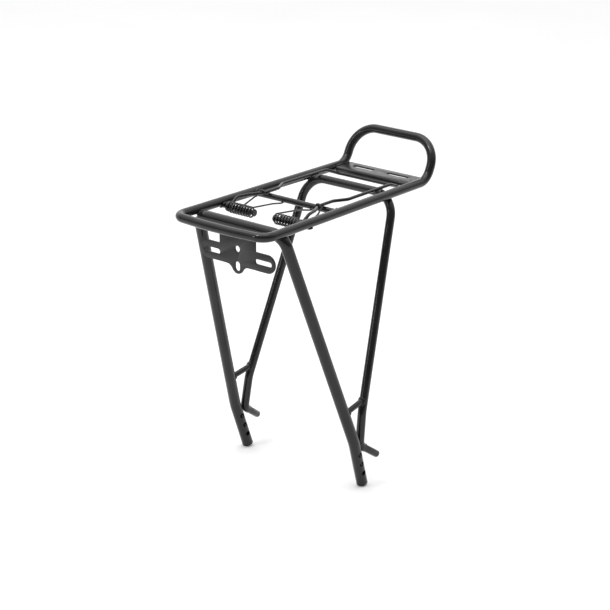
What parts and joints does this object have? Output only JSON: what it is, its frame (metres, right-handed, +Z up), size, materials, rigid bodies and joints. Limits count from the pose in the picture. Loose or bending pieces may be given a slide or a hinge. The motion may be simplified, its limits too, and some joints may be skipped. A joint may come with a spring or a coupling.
{
  "type": "rear bicycle carrier",
  "caption": "Welded tubular steel rear carrier for a bicycle, with a raised front hoop, drilled feet, light bracket and sprung luggage clip.",
  "frame": {"origin": "midway between the two feet, at the height of their middle bolt holes", "axes": "+X forward to the raised hoop, +Y to the rack's left side, +Z up"},
  "size_m": [0.3387, 0.204, 0.3915],
  "materials": {
    "black_paint": "gloss black powder coat",
    "clip_paint": "gloss black powder coat over wire",
    "spring_steel": "black oiled spring steel",
    "black_plastic": "satin moulded plastic"
  },
  "bodies": {
    "frame": {"platform_tube": "black_paint", "rear_leg_tube": "black_paint", "front_leg_tube": "black_paint", "middle_crossbar": "black_paint", "front_plate": "black_paint", "rear_light_bracket": "black_paint", "left_lower_brace": "black_paint", "right_lower_brace": "black_paint", "left_strap_peg": "black_paint", "right_strap_peg": "black_paint", "left_foot_plug": "black_plastic", "right_foot_plug": "black_plastic", "left_pivot_pin": "black_paint", "right_pivot_pin": "black_paint", "left_torsion_spring": "spring_steel", "right_torsion_spring": "spring_steel"},
    "clip": {"clip_bail": "clip_paint"}
  },
  "joints": [
    {"name": "clip_lift", "type": "hinge", "parent": "frame", "child": "clip", "pos_m": [-0.0592, 0, 0.3047], "axis": [0, -1, 0], "range_deg": [0, 80], "stiffness_Nm_per_rad": 1.33, "springref_deg": -54.43, "deforming": ["left_torsion_spring", "right_torsion_spring"]}
  ]
}
